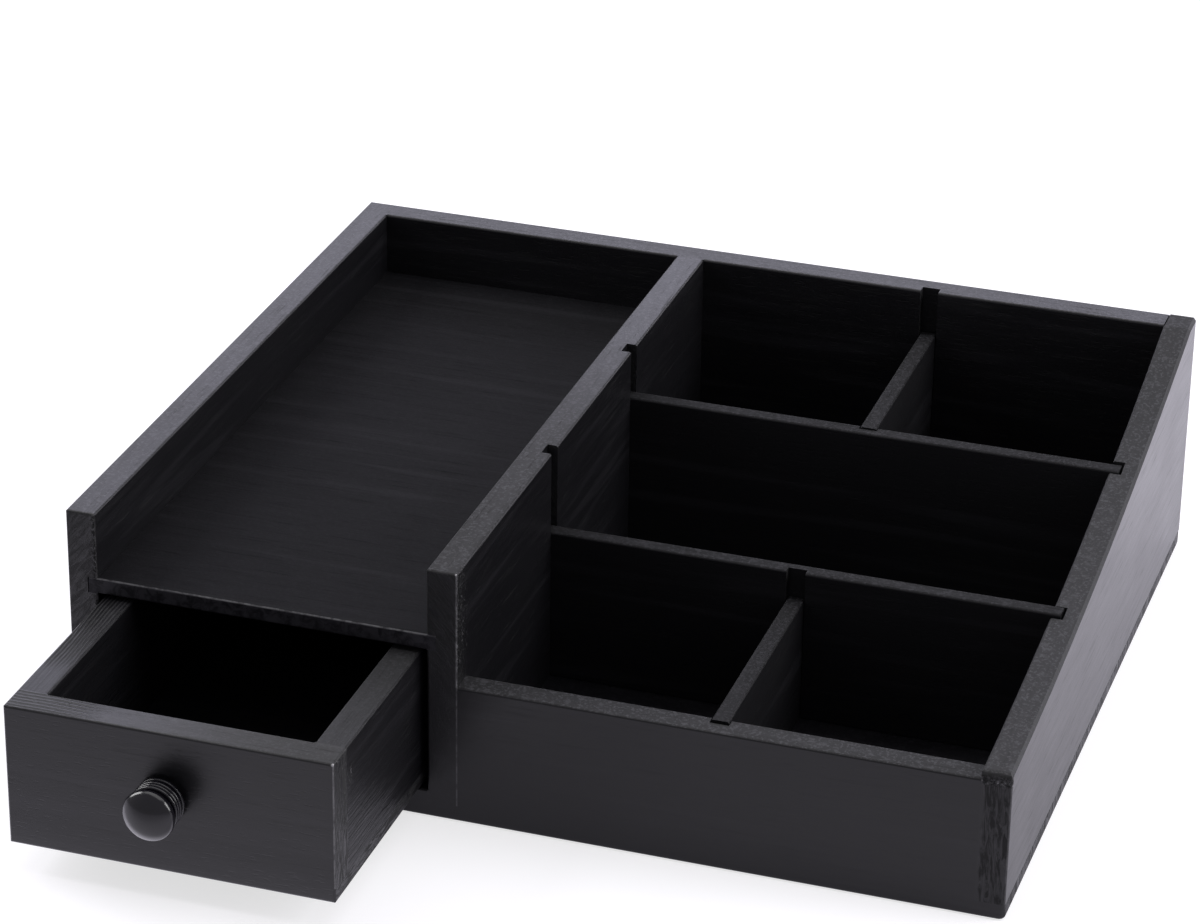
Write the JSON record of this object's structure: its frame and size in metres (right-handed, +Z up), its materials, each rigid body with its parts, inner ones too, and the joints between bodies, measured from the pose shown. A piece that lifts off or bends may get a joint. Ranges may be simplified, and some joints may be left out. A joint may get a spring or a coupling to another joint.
{
  "type": "organizer box",
  "caption": "Black wooden vanity organizer with a divided well for cologne bottles, a curved side, a tray shelf and a small drawer with a turned knob.",
  "frame": {"origin": "middle of the case's underside, on the surface it stands on", "axes": "+X to the right across the front, +Y to the back, +Z up; the drawer opens to -Y"},
  "size_m": [0.305, 0.3536, 0.087],
  "materials": {
    "painted_wood": "black satin paint over solid wood, grain and brush marks showing",
    "knob_lacquer": "gloss black lacquer on turned wood",
    "screw_steel": "plain zinc-plated steel"
  },
  "bodies": {
    "case": {"base_board": "painted_wood", "left_side_panel": "painted_wood", "middle_partition": "painted_wood", "right_side_panel": "painted_wood", "front_panel": "painted_wood", "back_panel": "painted_wood", "shelf_board": "painted_wood", "drawer_sill": "painted_wood", "drawer_runner_left": "painted_wood", "drawer_runner_right": "painted_wood"},
    "drawer": {"drawer_bottom": "painted_wood", "drawer_front": "painted_wood", "drawer_left_side": "painted_wood", "drawer_right_side": "painted_wood", "drawer_back": "painted_wood", "drawer_knob": "knob_lacquer", "knob_screw": "screw_steel"},
    "front_cross_divider": {"front_cross_divider": "painted_wood"},
    "back_cross_divider": {"back_cross_divider": "painted_wood"},
    "front_short_divider": {"front_short_divider": "painted_wood"},
    "back_short_divider": {"back_short_divider": "painted_wood"}
  },
  "joints": [
    {"name": "drawer_slide", "type": "slide", "parent": "case", "child": "drawer", "axis": [0, -1, 0], "range_m": [-0.0723, 0.11]},
    {"name": "front_cross_divider_lift", "type": "slide", "parent": "case", "child": "front_cross_divider", "axis": [0, 0, 1], "range_m": [0, 0.085]},
    {"name": "back_cross_divider_lift", "type": "slide", "parent": "case", "child": "back_cross_divider", "axis": [0, 0, 1], "range_m": [0, 0.085]},
    {"name": "front_short_divider_lift", "type": "slide", "parent": "case", "child": "front_short_divider", "axis": [0, 0, 1], "range_m": [0, 0.085]},
    {"name": "back_short_divider_lift", "type": "slide", "parent": "case", "child": "back_short_divider", "axis": [0, 0, 1], "range_m": [0, 0.085]}
  ]
}
